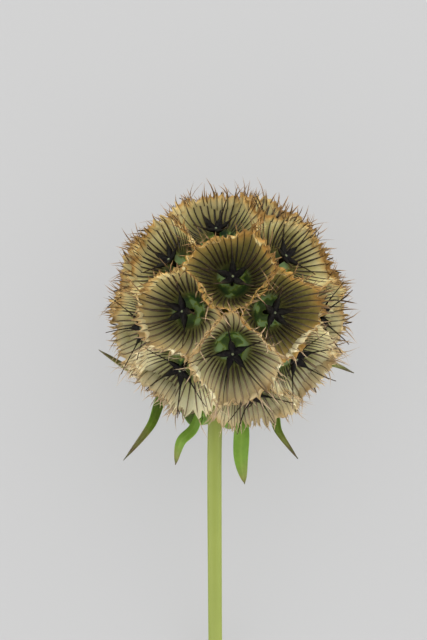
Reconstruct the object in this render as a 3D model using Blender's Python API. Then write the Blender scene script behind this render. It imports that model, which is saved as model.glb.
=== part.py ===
"""Seed head of a starflower scabious, cut on a short length of stem and lying on a flat surface.

The ball is made of papery cups, one for each fruit, and each cup holds a dark five-pointed star.
Green bracts hang from a collar round the top of the stem. The ball lies on one pressed cup, and
the cut end of the stem touches the surface too. Places on the head are given as right, up and
face: up runs along the stem away from its cut end, and face looks out of the upper side.
"""

import math
import random

import bmesh
import bpy
import numpy as np
from mathutils import Matrix, Vector

MM = 0.001

# How the head lies
LEAN = math.radians(8.0)
HEAD_CENTRE = Vector((0.406, 19.466, 19.0)) * MM
RIGHT = Vector((1.0, 0.0, 0.0))
UP = Vector((0.0, math.cos(LEAN), math.sin(LEAN)))
FACE = Vector((0.0, -math.sin(LEAN), math.cos(LEAN)))

# The ball of fruits
HEAD_RADIUS = 20.0 * MM
RECEPTACLE_RADIUS = 6.4 * MM
RECEPTACLE_STEPS = 2
FRUIT_COUNT = 33
STEM_ROOM = math.radians(29.0)
UPPER_STEM_CONE, LOWER_STEM_CONE = math.radians(15.0), math.radians(24.0)
STEM_LEAVES = (-2.3, -20.0)
SPREADING_ROUNDS = 160
SPREADING_STEP = 0.02

# The fruits on the upper side: longitude, latitude, how much room each takes, and the bearing of
# one point of its star. The rest of the stars are turned by TURN_BETWEEN from one fruit to the next.
UPPER_FRUITS = (
    (1.9, 19.2, 1.06, 90.0),
    (-28.7, -1.2, 1.08, 80.0),
    (27.3, -2.1, 1.02, 85.0),
    (2.0, -26.9, 1.14, 100.0),
    (-40.6, -39.1, 1.04, 30.0),
    (53.9, -31.0, 1.02, 45.0),
    (38.3, -65.7, 1.12, 54.0),
    (-14.0, 55.9, 1.12, 12.0),
    (-46.1, 30.7, 1.0, 30.0),
    (43.7, 33.2, 1.04, 12.0),
    (-68.3, -11.1, 1.0, 33.0),
    (75.2, -4.5, 1.0, 36.0),
)
USUAL_ROOM = 1.0
TURN_BETWEEN = 137.5

# Pairs of upper fruits whose shared wall leans, and the first one's share of the way between them
LEANING_WALLS = {(0, 3): 0.40, (1, 3): 0.53}

# One fruit: heights are along its own axis, from the middle of the ball
RIBS = 13
FLUTES = 5
CUP_SPREAD = math.radians(22.5)
CUP_GAP = 0.4 * MM
WALL = 0.65 * MM
RIB_RELIEF = 0.3 * MM
NOTCH_DEPTH = 0.9 * MM
RIM_ROUNDS = 6
ROOT_HEIGHT, ROOT_RADIUS = 4.5 * MM, 1.3 * MM
WAIST_HEIGHT, WAIST_RADIUS = 10.4 * MM, 1.7 * MM
HIP_HEIGHT, HIP_RADIUS = 13.0 * MM, 3.9 * MM
FLOOR_HEIGHT, FLOOR_RADIUS = 12.8 * MM, 3.0 * MM
BELLY_HEIGHT, BELLY_RADIUS = 15.6 * MM, 4.9 * MM

# The star in each cup
LOBES = 5
STALK_HEIGHT, STALK_RADIUS = 12.0 * MM, 0.6 * MM
HUB_HEIGHT, HUB_RADIUS, HUB_RISE = 15.5 * MM, 0.85 * MM, 0.7 * MM
LOBE_REACH, LOBE_WIDTH, LOBE_THICKNESS = 2.4 * MM, 1.1 * MM, 0.65 * MM
AWN_REACH, AWN_RISE = 7.6 * MM, 4.9 * MM
AWN_CLEARANCE = 0.4 * MM
AWN_SCATTER = 0.12
SEED = 11

# The stem: right and up of points on its line, and its radius there
STEM_LINE = (
    (-0.5, -3.4, 1.25),
    (-0.9, -7.0, 1.3),
    (-1.7, -12.0, 1.25),
    (-2.2, -17.0, 1.22),
    (-2.4, -24.0, 1.2),
    (-2.4, -33.0, 1.2),
    (-2.35, -43.0, 1.18),
    (-2.3, -53.0, 1.17),
    (-2.2, -62.0, 1.15),
)
STEM_DROP_FROM = -14.0 * MM
STEM_FOOT = 0.95 * MM
STEM_SIDE_STEPS = 3

# The bracts: direction round the stem, turn of the blade, its width in mm, then points on its line
# outside the ball and its tip, each as right, up and face from the head's centre in mm. Before them
# each bract passes beside the stem, at the heights and distances of BRACT_PASSES.
COLLAR_HEIGHT, COLLAR_RADIUS, COLLAR_THICKNESS = -7.9 * MM, 2.4 * MM, 1.1 * MM
BRACT_ROOT = 1.95 * MM
BRACT_PASSES = ((-13.0, 2.9), (-19.2, 4.4))
BRACTS = (
    (-155.0, 30.0, 1.8, (-7.2, -16.4, -12.8), (-15.4, -11.3, -12.6), (-22.3, -6.8, -11.3)),
    (-132.0, -10.0, 2.1, (-7.9, -16.9, -11.9), (-11.4, -15.5, -10.3), (-13.2, -19.6, -3.4), (-17.6, -25.2, 0.0)),
    (-50.0, 20.0, 1.9, (-8.0, -21.9, 4.0), (-8.9, -25.7, 3.6)),
    (78.0, 10.0, 2.7, (2.0, -24.8, 0.9), (2.6, -29.1, 0.4)),
    (96.0, -30.0, 1.9, (3.4, -18.7, -9.6), (7.4, -17.5, -9.9), (8.4, -20.6, -4.5), (11.6, -25.0, -1.5)),
    (122.0, -30.0, 2.0, (5.6, -16.8, -13.8), (11.6, -13.6, -13.2), (16.2, -9.2, -12.0), (21.5, -10.8, -10.4)),
    (150.0, 10.0, 2.4, (2.6, -18.7, -11.7), (4.6, -17.9, -13.2), (5.9, -18.4, -15.3)),
    (-178.0, -10.0, 2.4, (-3.0, -18.7, -11.6), (-4.6, -17.9, -13.0), (-5.9, -17.9, -14.9)),
)
BRACT_NECK, BRACT_THICKNESS = 1.2 * MM, 0.7 * MM
BRACT_STEPS = 12
BRACT_TIP = 0.06
BRACT_SWELL = (0.26, 0.98)
BRACT_TURN = (0.2, 0.65)

# Room kept between the separate pieces
FIT_GAP = 0.35 * MM


def new_material(name, colour, roughness):
    material = bpy.data.materials.new(name)
    material.use_nodes = True
    shader = material.node_tree.nodes["Principled BSDF"]
    shader.inputs["Base Color"].default_value = (*colour, 1.0)
    shader.inputs["Roughness"].default_value = roughness
    shader.inputs["Metallic"].default_value = 0.0
    return material


def new_object(name, mesh, collection):
    made = bpy.data.objects.new(name, mesh)
    collection.objects.link(made)
    return made


def new_collection(name):
    made = bpy.data.collections.new(name)
    bpy.context.scene.collection.children.link(made)
    return made


def on_head(right, up, face):
    """The place of a point given from the middle of the ball."""
    return HEAD_CENTRE + RIGHT * right + UP * up + FACE * face


def heading(longitude, latitude):
    """The way from the middle of the ball to a longitude and latitude on it, in degrees."""
    lon, lat = math.radians(longitude), math.radians(latitude)
    return RIGHT * (math.sin(lon) * math.cos(lat)) + UP * math.sin(lat) + FACE * (math.cos(lon) * math.cos(lat))


def stem_heading():
    """The way from the middle of the ball to where the stem leaves it."""
    right, up = STEM_LEAVES
    return np.array((RIGHT * right + UP * up).normalized())


def spiral(count):
    """Evenly spread headings, on the turning spiral that plants grow by."""
    golden = math.pi * (3.0 - math.sqrt(5.0))
    for k in range(count):
        height = 1.0 - 2.0 * (k + 0.5) / count
        flat = math.sqrt(1.0 - height * height)
        yield np.array((flat * math.cos(golden * k), height, flat * math.sin(golden * k)))


def spread_fruits():
    """Headings and room of every fruit: the upper ones and the resting one as they are, then the rest,
    each put in the widest space left and eased away from its neighbours and from the stem."""
    placed = [np.array(heading(lon, lat)) for lon, lat, room, bearing in UPPER_FRUITS]
    placed.append(np.array((0.0, 0.0, -1.0)))
    held = len(placed)
    rooms = [room for lon, lat, room, bearing in UPPER_FRUITS]
    rooms += [USUAL_ROOM] * (FRUIT_COUNT - len(rooms))
    stem = stem_heading()
    places = [p for p in spiral(40 * FRUIT_COUNT) if p @ stem < math.cos(STEM_ROOM)]
    while len(placed) < FRUIT_COUNT:
        nearest = [max(p @ q for q in placed) for p in places]
        placed.append(places[int(np.argmin(nearest))])
    points = np.array(placed)
    for _ in range(SPREADING_ROUNDS):
        for k in range(held, FRUIT_COUNT):
            away = points[k] - points
            reach = np.linalg.norm(away, axis=1)
            reach[k] = 1.0
            push = (away / reach[:, None] ** 4).sum(0)
            from_stem = points[k] - stem
            push += 0.7 * from_stem / np.linalg.norm(from_stem) ** 4
            push -= (push @ points[k]) * points[k]
            points[k] += SPREADING_STEP * push / max(1.0, np.linalg.norm(push))
            points[k] /= np.linalg.norm(points[k])
    return points, np.array(rooms)


def fruit_axes(direction):
    """Turns +Z to the fruit's heading, with +Y towards the top of the head."""
    out = Vector(direction)
    side = UP.cross(out)
    side.normalize()
    return Matrix((side, out.cross(side), out)).transposed()


def cell_walls(k, points, rooms, turn):
    """The planes that part fruit k from its neighbours and from the room round the stem, in its own axes:
    slope of each plane and its bearing."""
    near = np.vstack((np.delete(points, k, axis=0), stem_heading())) @ np.array(turn)
    share = shares_between(k, rooms)
    between = np.arccos(np.clip(near[:, 2], -1.0, 1.0))
    cone = UPPER_STEM_CONE if k < len(UPPER_FRUITS) else LOWER_STEM_CONE
    lean = np.append(between[:-1] * share, between[-1] - cone)
    close = lean < math.radians(40.0)
    return lean[close], np.arctan2(near[close, 1], near[close, 0])


def room_at(walls, bearing, height):
    """How far out from its axis a fruit may reach on a bearing, at a height."""
    lean, bearings = walls
    facing = np.cos(bearings - bearing)
    ahead = facing > 0.05
    reach = (height * np.sin(lean) - CUP_GAP / 2)[ahead] / (np.cos(lean) * facing)[ahead]
    return min(float(reach.min()), height * math.tan(CUP_SPREAD))


def ring(bm, count, start, place):
    """Points round the axis: place(k, bearing) gives each one's distance out and its height."""
    made = []
    for k in range(count):
        bearing = start + 2.0 * math.pi * k / count
        out, height = place(k, bearing)
        vertex = bm.verts.new((out * math.cos(bearing), out * math.sin(bearing), height))
        made.append((bearing, vertex))
    return made


def stitch(bm, first, second):
    """A band of triangles between two rings of any two counts, each point joined to the nearest bearing."""
    apart = [abs(math.remainder(bearing - first[0][0], 2.0 * math.pi)) for bearing, vertex in second]
    offset = apart.index(min(apart))
    second = second[offset:] + second[:offset]
    i = j = 0
    while i < len(first) or j < len(second):
        a, b = first[i % len(first)][1], second[j % len(second)][1]
        if j == len(second) or (i < len(first) and (i + 1) / len(first) <= (j + 1) / len(second)):
            i += 1
            bm.faces.new((a, first[i % len(first)][1], b))
        else:
            j += 1
            bm.faces.new((a, second[j % len(second)][1], b))


def shares_between(k, rooms):
    """Fruit k's share of the way to each other fruit."""
    shares = rooms[k] / (rooms[k] + rooms)
    for (first, second), share in LEANING_WALLS.items():
        if k == first:
            shares[second] = share
        if k == second:
            shares[first] = 1.0 - share
    return np.delete(shares, k)


def star_bearing(k):
    """The bearing of one point of fruit k's star."""
    if k < len(UPPER_FRUITS):
        return math.radians(UPPER_FRUITS[k][3])
    return math.radians(TURN_BETWEEN * k)


def add_star(bm, walls, stalk, luck):
    """Five lobes on a stalk, each narrowing to a long awn that rises past the rim of its own cup."""
    start = stalk[0][0]
    hub = ring(bm, LOBES, start, lambda k, b: (HUB_RADIUS, HUB_HEIGHT))
    stitch(bm, stalk, hub)
    crown = bm.verts.new((0.0, 0.0, HUB_HEIGHT + HUB_RISE))
    for k in range(LOBES):
        left, right = hub[k][1], hub[(k + 1) % LOBES][1]
        bearing = start + 2.0 * math.pi * (k + 0.5) / LOBES
        ahead = Vector((math.cos(bearing), math.sin(bearing), 0.0))
        side = Vector((-ahead.y, ahead.x, 0.0))
        rise = AWN_RISE * (1.0 + AWN_SCATTER * luck.uniform(-1.0, 1.0))
        reach = AWN_REACH * (1.0 + AWN_SCATTER * luck.uniform(-1.0, 1.0))
        reach = min(reach, room_at(walls, bearing, HUB_HEIGHT + rise) - AWN_CLEARANCE)
        middle = ahead * LOBE_REACH + Vector((0.0, 0.0, HUB_HEIGHT + 0.3 * rise * LOBE_REACH / reach))
        edge_right = bm.verts.new(middle - side * LOBE_WIDTH / 2)
        edge_left = bm.verts.new(middle + side * LOBE_WIDTH / 2)
        ridge = bm.verts.new(middle + Vector((0.0, 0.0, LOBE_THICKNESS)))
        tip = bm.verts.new(ahead * reach + Vector((0.0, 0.0, HUB_HEIGHT + rise)))
        bm.faces.new((crown, left, edge_right, ridge))
        bm.faces.new((crown, ridge, edge_left, right))
        bm.faces.new((left, right, edge_left, edge_right))
        bm.faces.new((edge_right, tip, ridge))
        bm.faces.new((ridge, tip, edge_left))
        bm.faces.new((edge_left, tip, edge_right))


def fruit_mesh(name, walls, first_point, luck):
    """One fruit as a single closed surface: fluted root, ribbed cup with a notched rim, and its star."""
    bm = bmesh.new()
    folds = 2 * RIBS

    def held_in(wanted, wall=0.0):
        def place(k, bearing, height):
            return min(wanted, room_at(walls, bearing, height) - wall)

        return place

    def rim(wall):
        def place(k, bearing):
            on_rib = k % 2 == 0
            top = HEAD_RADIUS if on_rib else HEAD_RADIUS - NOTCH_DEPTH
            height = top * math.cos(CUP_SPREAD)
            for _ in range(RIM_ROUNDS):
                out = room_at(walls, bearing, height) - wall - (RIB_RELIEF if on_rib else 0.0)
                height = math.sqrt(top * top - out * out)
            return out, height

        return place

    def belly(k, bearing):
        relief = RIB_RELIEF if k % 2 == 0 else 0.0
        return held_in(BELLY_RADIUS, WALL)(k, bearing, BELLY_HEIGHT) - relief, BELLY_HEIGHT

    start = first_point - math.pi / LOBES
    root = ring(bm, FLUTES, 0.0, lambda k, b: (ROOT_RADIUS, ROOT_HEIGHT))
    waist = ring(bm, FLUTES, 0.0, lambda k, b: (WAIST_RADIUS, WAIST_HEIGHT))
    hip = ring(bm, RIBS, 0.0, lambda k, b: (held_in(HIP_RADIUS)(k, b, HIP_HEIGHT), HIP_HEIGHT))
    outer_rim = ring(bm, folds, 0.0, rim(0.0))
    inner_rim = ring(bm, folds, 0.0, rim(WALL))
    wall = ring(bm, folds, 0.0, belly)
    floor = ring(bm, RIBS, 0.0, lambda k, b: (held_in(FLOOR_RADIUS, WALL)(k, b, FLOOR_HEIGHT), FLOOR_HEIGHT))
    stalk = ring(bm, LOBES, start, lambda k, b: (STALK_RADIUS, STALK_HEIGHT))
    bm.faces.new([vertex for bearing, vertex in root])
    bands = (root, waist, hip, outer_rim, inner_rim, wall, floor, stalk)
    for first, second in zip(bands, bands[1:]):
        stitch(bm, first, second)
    add_star(bm, walls, stalk, luck)
    bmesh.ops.recalc_face_normals(bm, faces=bm.faces)
    mesh = bpy.data.meshes.new(name)
    bm.to_mesh(mesh)
    bm.free()
    return mesh


def press_flat(obj):
    """Lifts to the surface whatever reaches under it."""
    world = obj.matrix_world
    back = world.inverted()
    for vertex in obj.data.vertices:
        place = world @ vertex.co
        if place.z < 0.0:
            place.z = 0.0
            vertex.co = back @ place


def applied(obj):
    """The object with its modifiers made part of its mesh."""
    graph = bpy.context.evaluated_depsgraph_get()
    mesh = bpy.data.meshes.new_from_object(obj.evaluated_get(graph))
    obj.modifiers.clear()
    obj.data = mesh
    return obj


def join_all(obj, collection):
    """Joins the objects of a collection to one, as one closed body, and removes them."""
    joint = obj.modifiers.new("join", "BOOLEAN")
    joint.operation = "UNION"
    joint.operand_type = "COLLECTION"
    joint.collection = collection
    joint.solver = "EXACT"
    applied(obj)
    for piece in list(collection.objects):
        bpy.data.objects.remove(piece)
    bpy.data.collections.remove(collection)


def cut(obj, *cutters):
    """Takes the cutters' shapes out of the object, and removes them."""
    for cutter in cutters:
        hole = obj.modifiers.new("cut", "BOOLEAN")
        hole.operation = "DIFFERENCE"
        hole.object = cutter
        hole.solver = "EXACT"
    applied(obj)
    for cutter in cutters:
        bpy.data.objects.remove(cutter)


def keep_whole_body(obj):
    """Drops loose scraps that a cut left beside the body."""
    bm = bmesh.new()
    bm.from_mesh(obj.data)
    unseen = set(bm.verts)
    bodies = []
    while unseen:
        found = {unseen.pop()}
        edge_of_search = list(found)
        while edge_of_search:
            vertex = edge_of_search.pop()
            fresh = {edge.other_vert(vertex) for edge in vertex.link_edges} - found
            found |= fresh
            edge_of_search.extend(fresh)
        unseen -= found
        bodies.append(found)
    bodies.sort(key=len)
    for scrap in bodies[:-1]:
        bmesh.ops.delete(bm, geom=list(scrap), context="VERTS")
    bm.to_mesh(obj.data)
    bm.free()


def build_seed_head(collection, material):
    """The small receptacle in the middle with every fruit standing out of it, joined as one body."""
    luck = random.Random(SEED)
    points, rooms = spread_fruits()
    bpy.ops.mesh.primitive_ico_sphere_add(
        subdivisions=RECEPTACLE_STEPS, radius=RECEPTACLE_RADIUS, location=HEAD_CENTRE
    )
    head = bpy.context.active_object
    head.name = "seed_head"
    for other in head.users_collection:
        other.objects.unlink(head)
    collection.objects.link(head)
    fruits = new_collection("fruits")
    for k in range(FRUIT_COUNT):
        turn = fruit_axes(points[k])
        walls = cell_walls(k, points, rooms, turn)
        fruit = new_object("fruit", fruit_mesh("fruit", walls, star_bearing(k), luck), fruits)
        fruit.matrix_world = Matrix.Translation(HEAD_CENTRE) @ turn.to_4x4()
        press_flat(fruit)
    bpy.context.view_layer.update()
    join_all(head, fruits)
    head.data.materials.clear()
    head.data.materials.append(material)
    return head


def stem_points():
    """Places along the stem's line, which sinks towards the surface in a slow curve, and its radii."""
    foot_up = STEM_LINE[-1][1] * MM
    sink = (STEM_FOOT - HEAD_CENTRE.z - foot_up * UP.z) / FACE.z
    places, radii = [], []
    for right, up, radius in STEM_LINE:
        along = max(0.0, (STEM_DROP_FROM - up * MM) / (STEM_DROP_FROM - foot_up))
        places.append(on_head(right * MM, up * MM, sink * along * along))
        radii.append(radius * MM)
    return places, radii


def stem_object(name, collection, grow=0.0, points=len(STEM_LINE)):
    """The stem as a round tube. With grow it is the wider shape that clears room for the stem."""
    places, radii = stem_points()
    curve = bpy.data.curves.new(name, "CURVE")
    curve.dimensions = "3D"
    curve.bevel_depth = 1.0
    curve.bevel_resolution = STEM_SIDE_STEPS
    curve.use_fill_caps = True
    spline = curve.splines.new("POLY")
    spline.points.add(points - 1)
    if grow:
        places[0] = places[0] + (places[0] - places[1]).normalized() * grow
    for point, place, radius in zip(spline.points, places, radii):
        point.co = (*place, 1.0)
        point.radius = radius + grow
    tube = new_object(name, curve, collection)
    bpy.context.view_layer.update()
    graph = bpy.context.evaluated_depsgraph_get()
    mesh = bpy.data.meshes.new_from_object(tube.evaluated_get(graph))
    bpy.data.objects.remove(tube)
    bm = bmesh.new()
    bm.from_mesh(mesh)
    bmesh.ops.remove_doubles(bm, verts=bm.verts, dist=0.01 * MM)
    bmesh.ops.recalc_face_normals(bm, faces=bm.faces)
    bm.to_mesh(mesh)
    bm.free()
    return new_object(name, mesh, collection)


def smooth_line(places, share):
    """A point at a share of the way along a line of places, rounded through them."""
    position = share * (len(places) - 1)
    k = min(int(position), len(places) - 2)
    part = position - k
    before = places[max(0, k - 1)]
    first, second = places[k], places[k + 1]
    after = places[min(len(places) - 1, k + 2)]
    return (
        first * 2.0
        + (second - before) * part
        + (before * 2.0 - first * 5.0 + second * 4.0 - after) * part**2
        + (first * 3.0 - before - second * 3.0 + after) * part**3
    ) / 2.0


def stem_middle(height):
    """The middle of the stem at a height near the head."""
    heights = [-up * MM for right, up, radius in STEM_LINE]
    rights = [right * MM for right, up, radius in STEM_LINE]
    return on_head(float(np.interp(-height, heights, rights)), height, 0.0)


def ease(share, low, high):
    """0 up to one share, 1 from another on, and a smooth rise between them."""
    part = min(1.0, max(0.0, (share - low) / (high - low)))
    return part * part * (3.0 - 2.0 * part)


def bract_width(widest, share):
    """Narrow while it is inside the ball, widest past the middle, and drawn out to a point."""
    low, high = BRACT_SWELL
    swell = math.sin(math.pi * min(1.0, max(0.0, (share - low) / (high - low)))) ** 0.8
    neck = BRACT_NECK * (1.0 - share)
    return max(neck + (widest - neck) * swell, widest * BRACT_TIP)


def bract_line(round_stem, beyond, steps):
    """The way out from the stem, and points along a bract: from the collar, beside the stem, to its tip."""
    angle = math.radians(round_stem)
    out = RIGHT * math.sin(angle) + FACE * math.cos(angle)
    places = [stem_middle(COLLAR_HEIGHT) + out * BRACT_ROOT]
    for height, distance in BRACT_PASSES:
        places.append(stem_middle(height * MM) + out * distance * MM)
    for right, up, face in beyond:
        places.append(on_head(right * MM, up * MM, face * MM))
    return out, [smooth_line(places, k / steps) for k in range(steps + 1)]


def blade_frames(out, line, turn):
    """The ways along and across a bract's blade at each point of its line. At its root it faces the stem,
    and at its tip it leans by its own turn from facing the upper side."""
    steps = len(line) - 1
    alongs = [(line[min(k + 1, steps)] - line[max(k - 1, 0)]).normalized() for k in range(steps + 1)]
    side = UP.cross(out)
    sides = []
    for along in alongs:
        side = (side - along * side.dot(along)).normalized()
        sides.append(side)
    wanted = Matrix.Rotation(math.radians(turn), 3, alongs[-1]) @ FACE.cross(alongs[-1])
    angle = math.atan2(side.cross(wanted).dot(alongs[-1]), side.dot(wanted))
    angle = math.remainder(angle, math.pi)
    for k, along in enumerate(alongs):
        sides[k] = Matrix.Rotation(angle * ease(k / steps, *BRACT_TURN), 3, along) @ sides[k]
    return alongs, sides


def bract_mesh(bract, grow):
    """One bract: a thin leaf with a low keel, swept along its line."""
    round_stem, turn, widest, *beyond = bract
    out, line = bract_line(round_stem, beyond, BRACT_STEPS)
    bm = bmesh.new()
    sections = []
    for k, (centre, along, side) in enumerate(zip(line, *blade_frames(out, line, turn))):
        share = k / BRACT_STEPS
        normal = along.cross(side).normalized()
        half_width = bract_width(widest * MM, share) / 2 + grow
        half_thick = BRACT_THICKNESS / 2 * (1.0 - 0.6 * share**4) + grow
        corners = (side * half_width, normal * half_thick, -side * half_width, -normal * half_thick)
        sections.append([bm.verts.new(centre + corner) for corner in corners])
    for near, far in zip(sections, sections[1:]):
        for k in range(4):
            bm.faces.new((near[k], near[(k + 1) % 4], far[(k + 1) % 4], far[k]))
    bm.faces.new(sections[0])
    bm.faces.new(sections[-1])
    bmesh.ops.recalc_face_normals(bm, faces=bm.faces)
    mesh = bpy.data.meshes.new("bract")
    bm.to_mesh(mesh)
    bm.free()
    return mesh


def bracts_object(name, collection, grow=0.0):
    """The collar round the stem with every bract joined to it. With grow it clears room for them."""
    bm = bmesh.new()
    radius = COLLAR_RADIUS + grow
    depth = COLLAR_THICKNESS + 2.0 * grow
    bmesh.ops.create_cone(bm, cap_ends=True, segments=16, radius1=radius, radius2=radius, depth=depth)
    mesh = bpy.data.meshes.new(name)
    bm.to_mesh(mesh)
    bm.free()
    whorl = new_object(name, mesh, collection)
    upright = UP.to_track_quat("Z", "Y").to_matrix().to_4x4()
    whorl.matrix_world = Matrix.Translation(stem_middle(COLLAR_HEIGHT)) @ upright
    blades = new_collection(name + "_blades")
    for bract in BRACTS:
        new_object("bract", bract_mesh(bract, grow), blades)
    bpy.context.view_layer.update()
    join_all(whorl, blades)
    return whorl


def build():
    for obj in list(bpy.data.objects):
        bpy.data.objects.remove(obj)
    parts = new_collection("scabious_seed_head")
    helpers = new_collection("cutters")
    helpers.hide_render = True
    papery = new_material("papery_cups", (0.30, 0.24, 0.12), 0.75)
    leaf_green = new_material("bract_green", (0.13, 0.27, 0.05), 0.55)
    stem_green = new_material("stem_green", (0.34, 0.42, 0.10), 0.6)

    stem = stem_object("stem", parts)
    stem.data.materials.append(stem_green)
    press_flat(stem)
    bracts = bracts_object("bracts", parts)
    bracts.data.materials.clear()
    bracts.data.materials.append(leaf_green)
    cut(bracts, stem_object("room_in_collar", helpers, FIT_GAP, 5))
    head = build_seed_head(parts, papery)
    room_for_bracts = bracts_object("room_for_bracts", helpers, FIT_GAP)
    cut(head, room_for_bracts, stem_object("room_for_stem", helpers, FIT_GAP, 5))
    keep_whole_body(head)


build()
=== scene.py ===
"""Looks of the scabious seed head: papery ribbed cups with dark bristly stars, grooved fruits,
green bracts and a pale stem, lying on a plain surface under soft light.

Places on the head are given as right, up and face: up runs along the stem away from its cut end,
and face looks out of the upper side, towards the camera. A fruit has its own axes, with +Z out
along it, and its heights are measured from the middle of the ball.
"""

import math
import random

import bmesh
import bpy
import numpy as np
from mathutils import Matrix, Vector


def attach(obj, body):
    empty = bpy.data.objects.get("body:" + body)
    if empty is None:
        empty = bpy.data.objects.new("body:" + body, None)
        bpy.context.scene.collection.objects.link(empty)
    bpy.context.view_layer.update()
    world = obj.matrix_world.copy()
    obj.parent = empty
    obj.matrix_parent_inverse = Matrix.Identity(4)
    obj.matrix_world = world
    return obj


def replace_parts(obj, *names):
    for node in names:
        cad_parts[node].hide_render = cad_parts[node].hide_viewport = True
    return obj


MM = 0.001

# How the head lies, as in part.py
LEAN = math.radians(8.0)
HEAD_CENTRE = Vector((0.406, 19.466, 19.0)) * MM
RIGHT = Vector((1.0, 0.0, 0.0))
UP = Vector((0.0, math.cos(LEAN), math.sin(LEAN)))
FACE = Vector((0.0, -math.sin(LEAN), math.cos(LEAN)))

# Nothing goes lower over the surface than this
LOWEST = 0.03 * MM

# The fruits, as in part.py
FRUIT_COUNT = 33
STEM_ROOM = math.radians(29.0)
UPPER_STEM_CONE, LOWER_STEM_CONE = math.radians(15.0), math.radians(24.0)
STEM_LEAVES = (-2.3, -20.0)
PLACES_PER_FRUIT = 40
SPREADING_ROUNDS = 160
SPREADING_STEP = 0.02
PUSH_OF_STEM = 0.7

# The upper ones: longitude and latitude in degrees, room, and the bearing of one ray of the star
UPPER_FRUITS = (
    (1.9, 19.2, 1.06, 90.0),
    (-28.7, -1.2, 1.08, 80.0),
    (27.3, -2.1, 1.02, 85.0),
    (2.0, -26.9, 1.14, 100.0),
    (-40.6, -39.1, 1.04, 30.0),
    (53.9, -31.0, 1.02, 45.0),
    (38.3, -65.7, 1.12, 54.0),
    (-14.0, 55.9, 1.12, 12.0),
    (-46.1, 30.7, 1.0, 30.0),
    (43.7, 33.2, 1.04, 12.0),
    (-68.3, -11.1, 1.0, 33.0),
    (75.2, -4.5, 1.0, 36.0),
)
USUAL_ROOM = 1.0
TURN_BETWEEN = 137.5

# Pairs of upper fruits whose wall isn't midway between them, and the first one's share of the way
LEANING_WALLS = {(0, 3): 0.40, (1, 3): 0.53}

# How far the upper fruits are from green, at 0, towards dry, at 1, and the others. This is partly
# how dry they are and partly painted light: low values paint shade on the middle cups, and high
# ones paint light shining through the outer cups
RIPENESS_AND_LIGHT = (0.06, 0.36, 0.03, 0.50, 1.0, 1.0, 0.55, 0.66, 1.0, 1.0, 0.95, 1.0)
USUAL_RIPENESS_AND_LIGHT, RIPENESS_AND_LIGHT_SCATTER = 0.75, (-0.15, 0.2)

# The cup of one fruit: how far out and how wide it goes, and what its neighbours leave it. A plane
# limits the rim only on bearings that face it by more than LEAST_FACING, a cosine
HEAD_RADIUS = 20.0 * MM
CUP_SPREAD = math.radians(25.0)
CUP_GAP = 0.1 * MM
LENGTH_SCATTER = 0.3 * MM
NEIGHBOUR_REACH = math.radians(40.0)
LEAST_FACING = 0.05
RIM_ROUNDS = 5

# Its floor and its pleated wall
RIB_COUNTS = (34, 35, 36, 37, 38)
COLUMNS_PER_RIB = 4
CUP_ROWS = 16
FLOOR_SHARE = 0.25
FLOOR_CENTRE_HEIGHT, FLOOR_INNER_RADIUS = 12.3 * MM, 0.45 * MM
FLOOR_EDGE_HEIGHT, FLOOR_EDGE_RADIUS = 13.7 * MM, 2.9 * MM
FLOOR_CURVE = 2.2
WALL_BULGE = 0.4 * MM
PLEAT_DEPTH, PLEAT_RISE = 0.16 * MM, 3.0
FRILL_DEPTH = 0.42 * MM
RIM_WANDER = 0.45 * MM
RIM_OVERLAP = (0.3 * MM, 0.4 * MM)
TEAR_DEPTH = 1.1 * MM
SCALLOP = (0.05, 0.15)
TWIST, SWAY = 0.9, 0.4
SKIN = 0.06 * MM
SAME_PLACE = 0.002 * MM

# Turns round the cup of the waves that its shape wanders by, and how strong they are together
FRILL_TURNS = ((5, 8), (12, 16), (19, 24))
WANDER_TURNS, OVERLAP_TURNS, SWAY_TURNS = (2, 3, 5, 9), (2, 4, 7), (1, 3, 7)
WAVE_STRENGTH = 1.5

# Its ribs
RIB_SIDES, RIB_STEPS = 4, 9
RIB_WIDTH, RIB_DEPTH = 0.44 * MM, 0.22 * MM
RIB_THICKNESS = (0.7, 1.2)
RIB_OVERHANG = 1.7 * MM
SHORTEST_TIP = 0.2
RIB_BEND_ASIDE, RIB_BEND_IN = (-0.5, 0.5), (-0.6, 0.4)
FRAY_FROM, FRAY_LENGTH = 0.82, 1.6 * MM

# How wide a rib is along its length: at its foot, how fast it widens there, how much it thins on the
# way up, how fast it comes to a point, and what is left at the tip
RIB_FOOT, RIB_WIDENING, RIB_THINNING, RIB_POINTING, RIB_TIP = 0.4, 5.0, 0.64, 12.0, 0.02

# The loose fibres of its frayed rim
FIBRE_STEPS = 4
FIBRES_PER_CUP = 12
FIBRE_FROM, FIBRE_TO = (0.74, 0.88), (0.96, 1.08)
FIBRE_BEND_ASIDE, FIBRE_BEND_IN = (-1.5, 1.5), (-1.5, 0.8)
FIBRE_WIDTH, FIBRE_THINNING = 0.15 * MM, 0.7
FIBRE_MAP_FROM = 0.78

# Its star: distance along a ray, half its width and half its depth there, all in mm
RAYS = 5
RAY_SIDES, RAY_STEPS = 6, 18
HUB_HEIGHT = 15.6 * MM
RAY_SHAPE = (
    (0.0, 0.55, 0.32),
    (0.5, 0.58, 0.38),
    (1.2, 0.70, 0.36),
    (1.8, 0.58, 0.28),
    (2.4, 0.27, 0.20),
    (2.8, 0.14, 0.12),
    (5.0, 0.11, 0.10),
    (7.0, 0.075, 0.07),
    (10.0, 0.03, 0.03),
)
RAY_REACH = (5.6 * MM, 8.6 * MM)
RAY_RISE = (3.4 * MM, 4.9 * MM)
RAY_CROWDING = 1.5
RAY_CURVE = (0.35, 1.3, -0.65)
RAY_SWAY = 1.8 * MM
RAY_SCATTER = 0.09

# How long the rays are on each upper fruit, and on the others
UPPER_RAYS = (0.62, 0.72, 0.66, 1.0, 1.0, 1.0, 1.0, 0.66, 0.62, 0.68, 1.0, 1.0)
LOWER_RAYS = 0.82

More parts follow.
